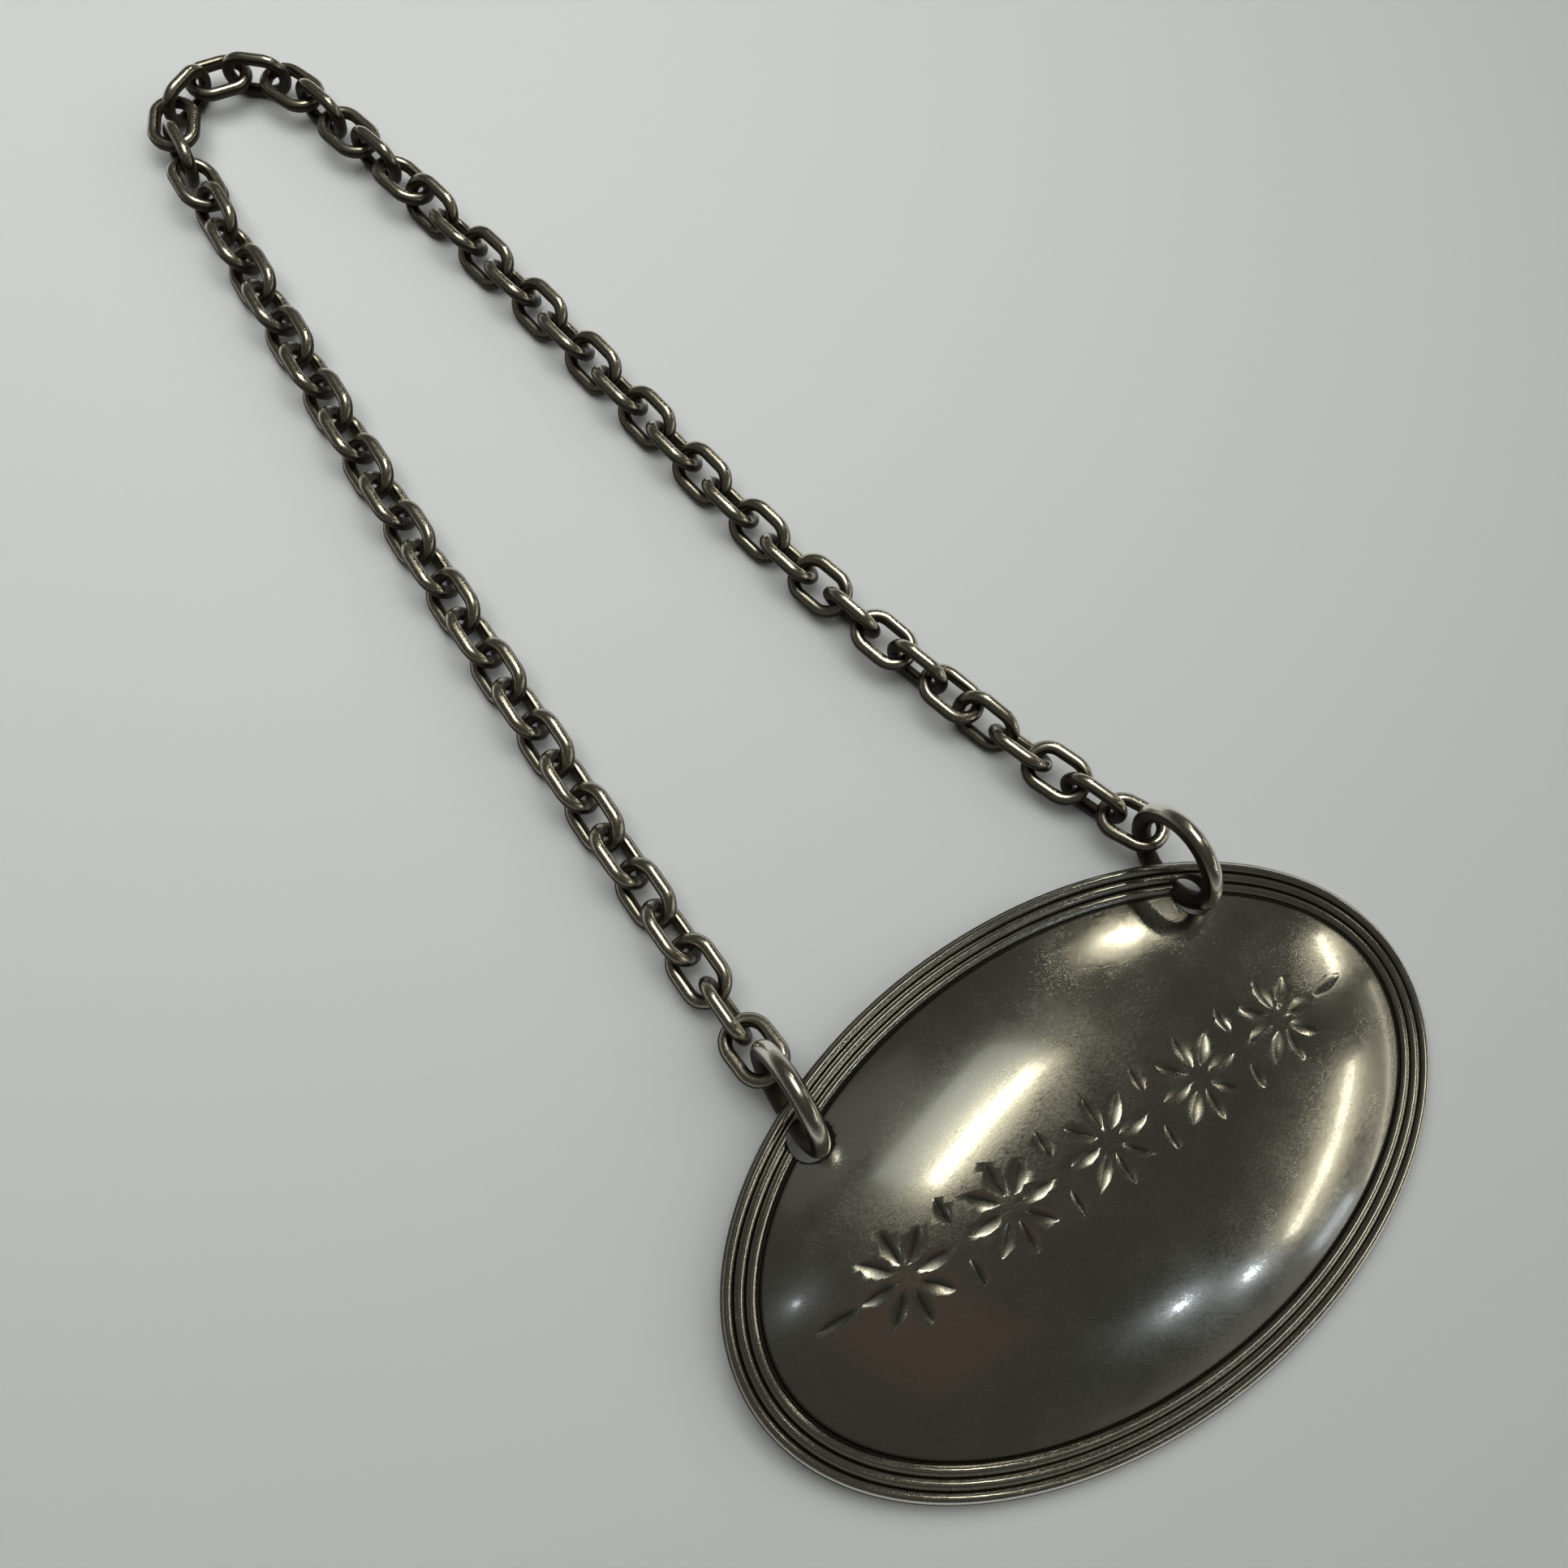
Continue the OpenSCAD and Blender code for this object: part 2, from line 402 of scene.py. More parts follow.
@dataclass(frozen=True)
class PlateForm:
    """Sizes of the domed plate and of how it leans on its rings, as the CAD part has them, in millimetres."""

    semi_x: float = 23.0  # half of the plate's length
    semi_y: float = 14.2  # half of the plate's height
    sheet: float = 0.8  # thickness of the domed sheet
    rise: float = 2.6  # rise of the dome above the groove inside the border
    fullness: float = 2.5  # how full the dome is
    border_w: float = 1.9  # width of the reeded border
    border_t: float = 1.0  # height of the reeds above the back
    reeds: int = 3
    reed_depth: float = 0.24  # depth of the grooves between the reeds
    back_land: float = 1.5  # width of the flat on the back
    edge_break: float = 0.12  # rounding of the back's edge
    hole_r: float = 1.2  # radius of the ring holes
    hole_x: float = 13.5  # distance of each hole from the plate's middle, along the plate
    hole_land: float = 1.1  # metal between a hole and the plate's edge
    ring_d: float = 7.0  # outer diameter of a jump ring
    ring_wire: float = 1.15  # diameter of a jump ring's wire
    ring_gap: float = 0.12  # gap between a jump ring and the plate

    @property
    def hole_y(self) -> float:
        """Returns how far each hole lies above the plate's middle."""
        edge_y = self.semi_y * math.sqrt(1.0 - (self.hole_x / self.semi_x) ** 2)
        return edge_y - self.hole_land - self.hole_r

    @property
    def tilt(self) -> float:
        """Works out how the plate leans.

        Returns:
            The angle at which it lies on its lower edge and its rings.
        """
        ring_r = self.ring_d / 2
        inner = ring_r - self.ring_wire - self.ring_gap
        past_hole = self.ring_gap + ring_r - 2 * self.hole_r
        out = self.semi_y + self.hole_y + self.hole_r + past_hole
        up = math.sqrt(inner ** 2 - past_hole ** 2)
        return math.asin(ring_r / math.hypot(out, up)) - math.atan2(up, out)

    def outline(self, angle: np.ndarray, inset: float) -> np.ndarray:
        """Walks round the oval.

        Args:
            angle: angles round the oval
            inset: how far the line lies in from the edge

        Returns:
            The line's points on the plate.
        """
        edge = np.stack([self.semi_x * np.cos(angle), self.semi_y * np.sin(angle)], axis=1)
        out = np.stack([self.semi_y * np.cos(angle), self.semi_x * np.sin(angle)], axis=1)
        return edge - inset * out / np.linalg.norm(out, axis=1, keepdims=True)

    def border_ring(self, angle: np.ndarray, inset: float, z: float) -> np.ndarray:
        """Returns a ring of points at one height, moved in from the edge."""
        return np.column_stack([self.outline(angle, inset), np.full(len(angle), z)])

    def dome_ring(self, angle: np.ndarray, q: float, drop: float) -> np.ndarray:
        """Returns a ring of points at a share q of the dome's reach, a drop below its top."""
        z = float(self.dome(q)) - drop
        return np.column_stack([q * self.outline(angle, self.border_w), np.full(len(angle), z)])

    def dome(self, q: np.ndarray | float) -> np.ndarray:
        """Returns the dome's height at a share q of the way from its middle to the border."""
        return self.border_t - self.reed_depth + self.rise * (1.0 - np.asarray(q, float) ** self.fullness)

    def share(self, x: np.ndarray | float, y: np.ndarray | float) -> np.ndarray:
        """Returns about how far a point is from the middle, as a share of the way to the border."""
        return np.hypot(x / (self.semi_x - self.border_w), y / (self.semi_y - self.border_w))

    def surface(self, x: np.ndarray | float, y: np.ndarray | float) -> np.ndarray:
        """Returns the dome's height over a point of the plate."""
        return self.dome(np.minimum(self.share(x, y), 1.0))


@dataclass(frozen=True)
class BrightCutRow:
    """A traditional bright-cut row, in millimetres: flower heads with a pair of lozenges between them."""

    form: PlateForm  # plate that the row is cut into
    level: float = 0.9  # how far the row lies above the plate's middle
    flowers: int = 5
    pitch: float = 6.5  # from one flower head to the next
    petals: int = 8  # number of petals to a flower head
    petal_l: float = 2.05
    petal_w: float = 0.92
    eye_r: float = 0.62  # radius of the plain eye of a flower head
    lozenge_l: float = 1.7
    lozenge_w: float = 0.7  # width of a lozenge and of the leaf at each end
    lozenge_off: float = 1.75  # how far a lozenge lies above or below the row's middle
    end_leaf_l: float = 2.6
    end_leaf_off: float = 0.9  # how far that leaf lies past the place of a lozenge
    depth: float = 0.16
    lip: float = 0.25  # how far a cutter stands above the surface, as a share of its depth
    leaf_steps: int = 13  # number of points along a cutter, with both tips
    tip_proud: float = 0.01  # how far a cutter's tips stand above the surface

    def height(self, spot: np.ndarray) -> float:
        """Returns the dome's height at a spot of the plate."""
        return float(self.form.surface(spot[0], spot[1]))

    def leaf(self, middle: Pair, length: float, width: float, turn: float) -> Mesh:
        """Makes a pointed cutter that leaves a leaf with a V-shaped floor.

        Args:
            middle: middle of the leaf on the plate
            length: length of the leaf
            width: width of the leaf at its middle
            turn: angle of the leaf from the plate's length, in degrees

        Returns:
            The cutter.
        """
        along = np.array([math.cos(math.radians(turn)), math.sin(math.radians(turn))])
        across = np.array([-along[1], along[0]])
        proud = 1.0 + self.lip
        points, faces = [], []
        for s in np.linspace(-1.0, 1.0, self.leaf_steps)[1:-1]:
            mid = np.array(middle) + s * along * length / 2
            swell = 1.0 - s * s
            for side, drop in ((proud, -self.lip), (0.0, 1.0), (-proud, -self.lip)):
                spot = mid + side * across * width / 2 * swell
                points.append((*spot, self.height(spot) - drop * self.depth * swell))
        for side in BOTH_SIDES:
            spot = np.array(middle) + side * along * length / 2
            points.append((*spot, self.height(spot) + self.tip_proud))
        start = 3 * (self.leaf_steps - 2)
        end, b = start + 1, start - 3
        for a in range(0, b, 3):
            faces += [(a, a + 1, a + 4, a + 3), (a + 1, a + 2, a + 5, a + 4), (a + 2, a, a + 3, a + 5)]
        faces += [(start, 1, 0), (start, 2, 1), (start, 0, 2)]
        faces += [(end, b, b + 1), (end, b + 1, b + 2), (end, b + 2, b)]
        return mesh_from("leaf_cutter", np.array(points), faces)

    def flower(self, x: float) -> list[Mesh]:
        """Makes one flower head.

        Args:
            x: where the middle of the flower head lies along the plate

        Returns:
            The cutters of its petals.
        """
        reach = self.eye_r + self.petal_l / 2
        cutters = []
        for i in range(self.petals):
            turn = 360.0 * i / self.petals
            way = math.radians(turn)
            spot = (x + reach * math.cos(way), self.level + reach * math.sin(way))
            cutters.append(self.leaf(spot, self.petal_l, self.petal_w, turn))
        return cutters

    def cutters(self) -> list[Mesh]:
        """Makes the whole row.

        Returns:
            The cutters of the flower heads, the lozenges and the leaf at each end.
        """
        middles = [(i - (self.flowers - 1) / 2) * self.pitch for i in range(self.flowers)]
        meshes = [cutter for x in middles for cutter in self.flower(x)]
        for x in middles[1:]:
            for side in BOTH_SIDES:
                spot = (x - self.pitch / 2, self.level + side * self.lozenge_off)
                meshes.append(self.leaf(spot, self.lozenge_l, self.lozenge_w, 90.0))
        for side in BOTH_SIDES:
            spot = (side * (middles[-1] + self.pitch / 2 + self.end_leaf_off), self.level)
            meshes.append(self.leaf(spot, self.end_leaf_l, self.lozenge_w, 0.0))
        return meshes


@dataclass(frozen=True)
class Plate:
    """The domed oval plate with its reeded border, ring holes and bright-cut row, in millimetres."""

    form: PlateForm = PlateForm()
    around: int = 480  # number of steps round the oval
    reed_steps: int = 10  # number of steps across a reed
    dome_steps: int = 44  # number of steps over the dome
    back_every: int = 3  # how many of the dome's steps go to one step of the back
    back_end: float = 0.96  # share of the dome's reach at which the back turns into the border's flat
    hole_steps: int = 72
    hole_wear: float = 0.05  # how far a hole's mouth is worn wider
    hole_wear_depth: float = 0.25  # how deep that wear goes
    drill: Pair = (-2.0, 6.0)  # heights between which the drills reach
    dome_end: float = 0.97  # share of the dome's reach past which a spot counts as border
    least_up: float = -0.2  # how far up a spot's surface still faces, at the least, to count as cut
    border_low: float = 0.3  # height above which the border can have grooves
    cuts: Shelter = Shelter(0.42, start=0.02, full=0.1)  # in the cuts, by their depth
    grooves: Shelter = Shelter(0.8, start=0.09, full=0.24)  # between the reeds, by the drop from their tops
    mouths: Shelter = Shelter(0.95, start=0.15, full=0.0)  # in the holes, by the distance from their wall
    back: Shelter = Shelter(0.3, start=0.1, full=0.0)  # on the back, by the height above it
    crease: float = 28.0  # angle past which an edge stays sharp, in degrees

    def skin(self) -> Mesh:
        """Makes the closed plate, with its back on z = 0 and its middle at the origin.

        Returns:
            The plate's mesh, without its holes and cuts.
        """
        f, n = self.form, self.around
        angle = np.arange(n) * FULL_TURN / n
        spread = np.sin(np.linspace(0.0, math.pi / 2, self.dome_steps + 1))[1:]
        round_mid = 0.3 * f.edge_break
        rings = [f.dome_ring(angle, q, f.sheet) for q in spread[::self.back_every] if q < self.back_end]
        rings += [f.border_ring(angle, inset, z) for inset, z in (
            (f.back_land, 0.0), (f.edge_break, 0.0), (round_mid, round_mid), (0.0, f.edge_break))]
        count = f.reeds * self.reed_steps
        for t in (i / count for i in range(count + 1)):
            z = f.border_t - f.reed_depth * (1.0 - abs(math.sin(math.pi * f.reeds * t)))
            rings.append(f.border_ring(angle, f.border_w * t, z))
        rings += [f.dome_ring(angle, q, 0.0) for q in spread[-2::-1]]
        crown = float(f.dome(0.0))
        points = np.vstack([[[0, 0, crown - f.sheet]], *rings, [[0, 0, crown]]])
        step = [(i, (i + 1) % n) for i in range(n)]
        faces = []
        for a in range(1, 1 + (len(rings) - 1) * n, n):
            faces += [(a + i, a + n + i, a + n + k, a + k) for i, k in step]
        last = len(points) - 1
        faces += [(0, 1 + i, 1 + k) for i, k in step]
        faces += [(last, last - n + k, last - n + i) for i, k in step]
        return mesh_from("plate_skin", points, faces)

    def hole_cutters(self) -> list[Mesh]:
        """Makes the drills for the ring holes.

        Returns:
            The two drills, each with a slightly worn mouth.
        """
        f, n = self.form, self.hole_steps
        angle = np.arange(n) * FULL_TURN / n
        top = float(f.surface(f.hole_x, f.hole_y))
        worn_r = f.hole_r + self.hole_wear
        profile = [(f.hole_r, self.drill[0]), (f.hole_r, top - self.hole_wear_depth),
                   (worn_r, top + self.hole_wear), (worn_r, self.drill[1])]
        top_ring = (len(profile) - 1) * n
        faces = [(a + i, a + (i + 1) % n, a + n + (i + 1) % n, a + n + i)
                 for a in range(0, top_ring, n) for i in range(n)]
        faces += [tuple(range(n)), tuple(range(top_ring, top_ring + n))]
        drills = []
        for side in BOTH_SIDES:
            rings = []
            for r, z in profile:
                x, y = side * f.hole_x + r * np.cos(angle), f.hole_y + r * np.sin(angle)
                rings.append(np.column_stack([x, y, np.full(n, z)]))
            drills.append(mesh_from("hole_cutter", np.vstack(rings), faces))
        return drills

    def shade_and_tarnish(self, mesh: Mesh) -> np.ndarray:
        """Works out where tarnish stays: in the cuts, between the reeds, in the holes and on the back.

        Args:
            mesh: the cut plate, before it is tilted

        Returns:
            How sheltered each vertex is.
        """
        f = self.form
        x, y, z = per_vertex(mesh, "co").T
        share = f.share(x, y)
        depth = f.surface(x, y) - z
        faces_up = per_vertex(mesh, "normal")[:, 2] > self.least_up
        on_top = (share < self.dome_end) & (depth < 0.5 * f.sheet) & faces_up
        on_border = (share >= self.dome_end) & (z > self.border_low)
        wall = np.min([np.hypot(x - side * f.hole_x, y - f.hole_y) for side in BOTH_SIDES], axis=0) - f.hole_r
        return np.maximum.reduce([
            np.where(on_top, self.cuts.shade_and_tarnish(depth), 0.0),
            np.where(on_border, self.grooves.shade_and_tarnish(f.border_t - z), 0.0),
            self.mouths.shade_and_tarnish(wall),
            self.back.shade_and_tarnish(z),
        ])

    def build(self, material: Material) -> Object:
        """Makes the finished plate.

        Args:
            material: its finish

        Returns:
            The plate in the row frame.
        """
        f = self.form
        obj = new_object("plate", self.skin())
        cut_away(obj, self.hole_cutters())
        cut_away(obj, BrightCutRow(f).cutters())
        mesh = obj.data
        shade_and_tarnish = self.shade_and_tarnish(mesh)
        turn = Matrix.Rotation(f.tilt, 4, "X") @ Matrix.Translation((0.0, f.semi_y, 0.0))
        mesh.transform(Matrix.Scale(MM, 4) @ turn)
        set_shade_and_tarnish(mesh, shade_and_tarnish)
        smooth_faces(mesh)
        mesh.set_sharp_from_angle(angle=math.radians(self.crease))
        mesh.materials.clear()
        mesh.materials.append(material)
        return obj


def solids_of(obj: Object) -> list[np.ndarray]:
    """Parts the separate solids of a CAD node.

    Args:
        obj: the node's object

    Returns:
        The vertices of each solid.
    """
    merge_gap = 1e-7
    work = bmesh.new()
    work.from_mesh(obj.data)
    bmesh.ops.remove_doubles(work, verts=work.verts, dist=merge_gap)
    left, groups = set(work.verts), []
    for first in work.verts:
        if first not in left:
            continue
        left.remove(first)
        stack, group = [first], []
        while stack:
            vertex = stack.pop()
            group.append(tuple(vertex.co))
            for other in (edge.other_vert(vertex) for edge in vertex.link_edges):
                if other in left:
                    left.remove(other)
                    stack.append(other)
        groups.append(np.array(group))
    work.free()
    return groups


def nearest(spots: np.ndarray, lines: list[np.ndarray], middle: np.ndarray, reach: float) -> np.ndarray:
    """Measures how near wires come.

    Args:
        spots: places on a piece
        lines: middle lines of the wires
        middle: middle of the piece
        reach: wires whose own middle lies further from it are left out

    Returns:
        The distance from each spot to the nearest wire's middle line, up to 1.
    """
    near = np.full(len(spots), 1.0)
    for line in lines:
        if np.linalg.norm(line.mean(axis=0) - middle) <= reach:
            gaps = np.linalg.norm(spots[:, None, :] - line[None, :, :], axis=2)
            near = np.minimum(near, gaps.min(axis=1))
    return near


@dataclass(frozen=True, eq=False)
class LinkPlace:
    """Where one link lies."""

    node: str  # its CAD node
    middle: np.ndarray
    axes: np.ndarray  # its long, cross and face directions
    line: np.ndarray  # points along the middle of its wire


@dataclass(frozen=True)
class Chain:
    """The chain's links, drawn by one node group at the places of their CAD nodes."""

    length: float = 4.56 * MM  # outer length of a link
    width: float = 3.30 * MM  # outer width of a link
    wire: float = 0.82 * MM  # diameter of its wire
    wear: float = 0.06 * MM  # how uneven the wire is
    wear_scale: float = 900.0  # how many of the wear's waves go to a metre
    seed: int = 7  # seed of the wear
    bend_steps: int = 14  # number of steps round a quarter of a link's bend
    wire_sides: int = 22
    line_steps: int = 72  # number of points along a link's wire, for measuring
    reach: float = 6.0 * MM  # how far off the middle of a neighbour can be
    touch: Shelter = Shelter(0.9, start=1.15 * MM, full=0.45 * MM)  # tarnish and painted shade where links touch, by the distance to other links' wire
    eye: Shelter = Shelter(0.6, start=0.2, full=0.9)  # tarnish and painted shade inside the eye, by how far a spot faces its middle
    flank: Shelter = Shelter(0.9, start=0.85, full=0.25)  # painted shade on the flanks, by how far a spot faces up
    below: Shelter = Shelter(0.3, start=0.9 * MM, full=0.1 * MM)  # painted shade underneath, by the height of a spot

    def wire_line(self, middle: np.ndarray, axes: np.ndarray) -> np.ndarray:
        """Walks along the middle of a link's wire.

        Args:
            middle: middle of the link
            axes: its long, cross and face directions

        Returns:
            The points that are passed.
        """
        half = (self.width - self.wire) / 2
        straight = self.length - self.width
        bend = math.pi * half
        points = []
        for q in np.arange(self.line_steps) / self.line_steps * 2 * (straight + bend):
            if q < straight:
                x, y = q - straight / 2, -half
            elif q < straight + bend:
                a = (q - straight) / half - math.pi / 2
                x, y = straight / 2 + half * math.cos(a), half * math.sin(a)
            elif q < 2 * straight + bend:
                x, y = straight / 2 - (q - straight - bend), half
            else:
                a = (q - 2 * straight - bend) / half + math.pi / 2
                x, y = -straight / 2 + half * math.cos(a), half * math.sin(a)
            points.append(middle + x * axes[0] + y * axes[1])
        return np.array(points)

    def place_of(self, node: str, points: np.ndarray) -> LinkPlace:
        """Finds where a link lies.

        Args:
            node: its CAD node
            points: vertices of its CAD solid

        Returns:
            The link's place.
        """
        _, vectors = np.linalg.eigh(np.cov((points - points.mean(axis=0)).T))
        axes = vectors.T[::-1].copy()
        axes[2] = np.cross(axes[0], axes[1])
        local = points @ axes.T
        middle = (local.min(axis=0) + local.max(axis=0)) / 2 @ axes
        return LinkPlace(node, middle, axes, self.wire_line(middle, axes))

    def places(self, frame: dict) -> dict[str, list[LinkPlace]]:
        """Finds all links.

        Args:
            frame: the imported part

        Returns:
            The links' places, by body.
        """
        found: dict[str, list[LinkPlace]] = {}
        for body, names in frame["record"]["behaviour"]["bodies"].items():
            for node in names:
                if "link" in node:
                    solids = solids_of(frame["nodes"][node])
                    found.setdefault(body, []).extend(self.place_of(node, solid) for solid in solids)
        return found

    def one_link(self, tree: Tree, given: bpy.types.NodeOutputs) -> Socket:
        """Adds the nodes that draw one oval link at the origin.

        Args:
            tree: tree that gets the nodes
            given: the tree's own inputs

        Returns:
            The link's mesh.
        """
        nodes, links = tree.nodes, tree.links
        just_under_half = 0.4999
        box = nodes.new("GeometryNodeCurvePrimitiveQuadrilateral")
        links.new(arithmetic(tree, "SUBTRACT", given["Link length"], given["Wire"]), box.inputs["Width"])
        mid_width = arithmetic(tree, "SUBTRACT", given["Link width"], given["Wire"])
        links.new(mid_width, box.inputs["Height"])
        fillet = nodes.new("GeometryNodeFilletCurve")
        fillet.mode = "POLY"
        fillet.inputs["Count"].default_value = self.bend_steps
        fillet.inputs["Limit Radius"].default_value = True
        links.new(box.outputs["Curve"], fillet.inputs["Curve"])
        links.new(arithmetic(tree, "MULTIPLY", mid_width, just_under_half), fillet.inputs["Radius"])
        section = nodes.new("GeometryNodeCurvePrimitiveCircle")
        section.inputs["Resolution"].default_value = self.wire_sides
        links.new(arithmetic(tree, "MULTIPLY", given["Wire"], 0.5), section.inputs["Radius"])
        sweep = nodes.new("GeometryNodeCurveToMesh")
        links.new(fillet.outputs["Curve"], sweep.inputs["Curve"])
        links.new(section.outputs["Curve"], sweep.inputs["Profile Curve"])
        return sweep.outputs["Mesh"]

    def worn(self, tree: Tree, given: bpy.types.NodeOutputs, even: Socket) -> Socket:
        """Adds the nodes that make the wire a little uneven.

        Args:
            tree: tree that gets the nodes
            given: the tree's own inputs
            even: the even links

        Returns:
            The worn links.
        """
        nodes, links = tree.nodes, tree.links
        waves = nodes.new("ShaderNodeTexNoise")
        waves.noise_dimensions = "4D"
        waves.inputs["Scale"].default_value = self.wear_scale
        waves.inputs["Detail"].default_value = 1.0
        links.new(given["Seed"], waves.inputs["W"])
        centred = nodes.new("ShaderNodeVectorMath")
        centred.operation = "SUBTRACT"
        centred.inputs[1].default_value = (0.5, 0.5, 0.5)
        links.new(waves.outputs["Color"], centred.inputs[0])
        scaled = nodes.new("ShaderNodeVectorMath")
        scaled.operation = "SCALE"
        links.new(centred.outputs["Vector"], scaled.inputs[0])
        links.new(given["Wear"], scaled.inputs["Scale"])
        moved = nodes.new("GeometryNodeSetPosition")
        links.new(even, moved.inputs["Geometry"])
        links.new(scaled.outputs["Vector"], moved.inputs["Offset"])
        return moved.outputs["Geometry"]

    def group(self) -> Tree:
        """Makes the node group that draws an oval link at each point.

        Returns:
            The node group.
        """
        tree = bpy.data.node_groups.new("oval_links", "GeometryNodeTree")
        face = tree.interface
        kinds = {"Geometry": "Geometry", "Link length": "Float", "Link width": "Float", "Wire": "Float",
                 "Wear": "Float", "Seed": "Int", "Material": "Material"}
        for name, kind in kinds.items():
            face.new_socket(name, in_out="INPUT", socket_type="NodeSocket" + kind)
        face.new_socket("Geometry", in_out="OUTPUT", socket_type="NodeSocketGeometry")
        nodes, links = tree.nodes, tree.links
        given = nodes.new("NodeGroupInput").outputs
        turn = nodes.new("GeometryNodeInputNamedAttribute")
        turn.data_type = "FLOAT_VECTOR"
        turn.inputs["Name"].default_value = "turn"
        euler = nodes.new("FunctionNodeEulerToRotation")
        links.new(turn.outputs["Attribute"], euler.inputs["Euler"])
        place = nodes.new("GeometryNodeInstanceOnPoints")
        links.new(given["Geometry"], place.inputs["Points"])
        links.new(self.one_link(tree, given), place.inputs["Instance"])
        links.new(euler.outputs["Rotation"], place.inputs["Rotation"])
        real = nodes.new("GeometryNodeRealizeInstances")
        links.new(place.outputs["Instances"], real.inputs["Geometry"])
        smooth = nodes.new("GeometryNodeSetShadeSmooth")
        links.new(self.worn(tree, given, real.outputs["Geometry"]), smooth.inputs["Geometry"])
        paint = nodes.new("GeometryNodeSetMaterial")
        links.new(smooth.outputs["Geometry"], paint.inputs["Geometry"])
        links.new(given["Material"], paint.inputs["Material"])
        links.new(paint.outputs["Geometry"], nodes.new("NodeGroupOutput").inputs["Geometry"])
        return tree

    def draw(self, name: str, places: list[LinkPlace], tree: Tree,
             material: Material) -> Object:
        """Draws the links of one body.

        Args:
            name: name of the piece
            places: where its links lie
            tree: node group that draws them
            material: their finish

        Returns:
            One plain mesh object that holds a link at each place.
        """
        points = bpy.data.meshes.new(name)
        points.from_pydata([tuple(p.middle) for p in places], [], [])
        turn = points.attributes.new("turn", "FLOAT_VECTOR", "POINT")
        for item, place in zip(turn.data, places):
            item.vector = Matrix(place.axes.T.tolist()).to_euler()
        obj = new_object(name, points)
        modifier = obj.modifiers.new("links", "NODES")
        modifier.node_group = tree
        values = {"Link length": self.length, "Link width": self.width, "Wire": self.wire,
                  "Wear": self.wear, "Seed": self.seed, "Material": material}
        for socket in tree.interface.items_tree:
            if socket.in_out == "INPUT" and socket.name in values:
                modifier[socket.identifier] = values[socket.name]
        obj.update_tag()
        obj.data = evaluated_mesh(obj)
        obj.modifiers.remove(modifier)
        if not obj.data.materials:
            obj.data.materials.append(material)
        return obj

    def shade(self, obj: Object, places: list[LinkPlace], every: list[LinkPlace]) -> None:
        """Paints tarnish and shade where links are sheltered: tarnish and painted shade at their neighbours
        and inside their eyes, painted shade on their flanks and below.

        Args:
            obj: the piece that holds the links
            places: where its links lie
            every: where all of the chain's links lie
        """
        at, out = per_vertex(obj.data, "co"), per_vertex(obj.data, "normal")
        each = len(at) // len(places)
        values = np.zeros(len(at))
        for i, place in enumerate(places):
            part = slice(i * each, (i + 1) * each)
            spots, facing = at[part], out[part]
            others = [other.line for other in every if other is not place]
            near = nearest(spots, others, place.middle, self.reach)
            inward = place.middle - spots
            inward /= np.linalg.norm(inward, axis=1, keepdims=True)
            inner = np.einsum("ij,ij->i", facing, inward)
            # tarnish and painted shade at neighbours and in the eye, painted shade on the flanks and
            # underneath
            values[part] = (self.touch.shade_and_tarnish(near) + self.eye.shade_and_tarnish(inner) + self.flank.shade_and_tarnish(facing[:, 2])
                            + self.below.shade_and_tarnish(spots[:, 2]))
        set_shade_and_tarnish(obj.data, values)

    def build(self, found: dict[str, list[LinkPlace]],
              material: Material) -> dict[str, Object]:
        """Makes the finished chain, one piece for each body.

        Args:
            found: the links' places, by body
            material: the links' finish

        Returns:
            The pieces, by body.
        """
        tree = self.group()
        every = [place for places in found.values() for place in places]
        pieces = {}
        for body, places in found.items():
            pieces[body] = self.draw(body + "_links", places, tree, material)
            self.shade(pieces[body], places, every)
        return pieces


@dataclass(frozen=True)
class JumpRing:
    """A closed ring of thicker wire, standing across the plate's edge."""

    node: str  # its CAD node
    outer: float = 7.0 * MM  # outer diameter
    wire: float = 1.15 * MM  # diameter of its wire
    turns: int = 144  # number of steps round the ring
    sides: int = 36  # number of sides of the wire
    reach: float = 7.0 * MM  # how far off the middle of a neighbouring link can be
    inside: Shelter = Shelter(0.85, start=0.92, full=0.25)  # tarnish and painted shade inside the ring and on its flanks, by how far a spot faces out
    touch: Shelter = Shelter(0.6, start=1.2 * MM, full=0.4 * MM)  # tarnish and painted shade where the links' wire comes near, by its distance

    def build(self, links: list[LinkPlace], material: Material) -> Object:
        """Makes the finished ring.

        Args:
            links: where the chain's links lie
            material: the ring's finish

        Returns:
            The ring at the place of its CAD node.
        """
        low, high = (np.array(corner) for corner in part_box(self.node))
        mid = (low + high) / 2
        m, n = self.turns, self.sides
        a = np.arange(m) * FULL_TURN / m
        b = np.arange(n) * FULL_TURN / n
        reach = (self.outer - self.wire) / 2 + self.wire / 2 * np.cos(b)
        y = np.cos(a)[:, None] * reach[None, :]
        z = np.sin(a)[:, None] * reach[None, :]
        x = np.broadcast_to(self.wire / 2 * np.sin(b), y.shape)
        points = np.stack([x, y, z], axis=2).reshape(-1, 3) + mid
        faces = []
        for i, k in ((i * n, (i + 1) % m * n) for i in range(m)):
            faces += [(i + j, i + (j + 1) % n, k + (j + 1) % n, k + j) for j in range(n)]
        name = self.node + "_wire"
        obj = new_object(name, mesh_from(name, points, faces))
        near = nearest(points, [link.line for link in links], mid, self.reach)
        # tarnish and painted shade on the inner side and flanks of the wire, and where links come near
        set_shade_and_tarnish(obj.data, np.tile(self.inside.shade_and_tarnish(np.cos(b)), m) + self.touch.shade_and_tarnish(near))
        smooth_faces(obj.data)
        obj.data.materials.append(material)
        return obj


